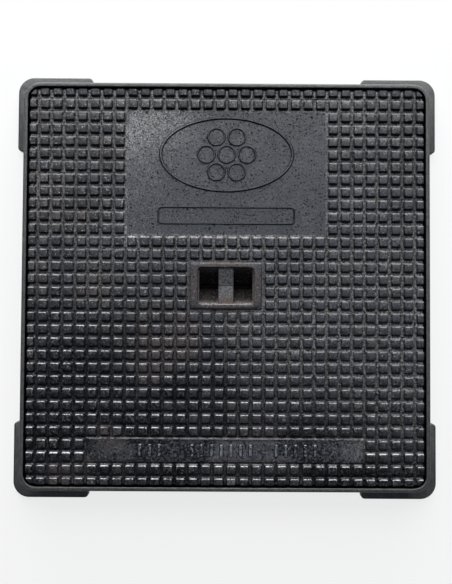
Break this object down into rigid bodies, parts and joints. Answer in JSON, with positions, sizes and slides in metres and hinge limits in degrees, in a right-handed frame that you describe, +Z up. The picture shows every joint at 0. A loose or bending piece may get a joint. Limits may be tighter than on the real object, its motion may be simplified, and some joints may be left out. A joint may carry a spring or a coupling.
{
  "type": "manhole cover",
  "caption": "Square studded cast-iron access cover in a frame with corner lugs; a bar in a blind pocket takes the lifting hook.",
  "frame": {"origin": "middle of the frame's base, on the surface that the frame is bedded on", "axes": "+Z up, out of the ground; +Y towards the side of the cover with the nameplate; +X to the right of it"},
  "size_m": [0.474, 0.474, 0.038],
  "materials": {
    "painted_iron_frame": "sand-cast iron dipped in black bituminous paint, semi-gloss on the rim, greyer and duller on the lugs",
    "painted_iron_cover": "sand-cast iron dipped in black bituminous paint, satin, with a fine grain and a little rust bloom",
    "bar_steel": "painted flat steel with rust creeping in from one end",
    "gasket_rubber": "moulded EPDM rubber, matte"
  },
  "bodies": {
    "frame": {"frame_casting": "painted_iron_frame", "seat_gasket": "gasket_rubber"},
    "cover": {"cover_casting": "painted_iron_cover", "lift_bar": "bar_steel"}
  },
  "joints": [
    {"name": "cover_lift", "type": "slide", "parent": "frame", "child": "cover", "axis": [0, 0, 1], "range_m": [0, 0.06]}
  ]
}
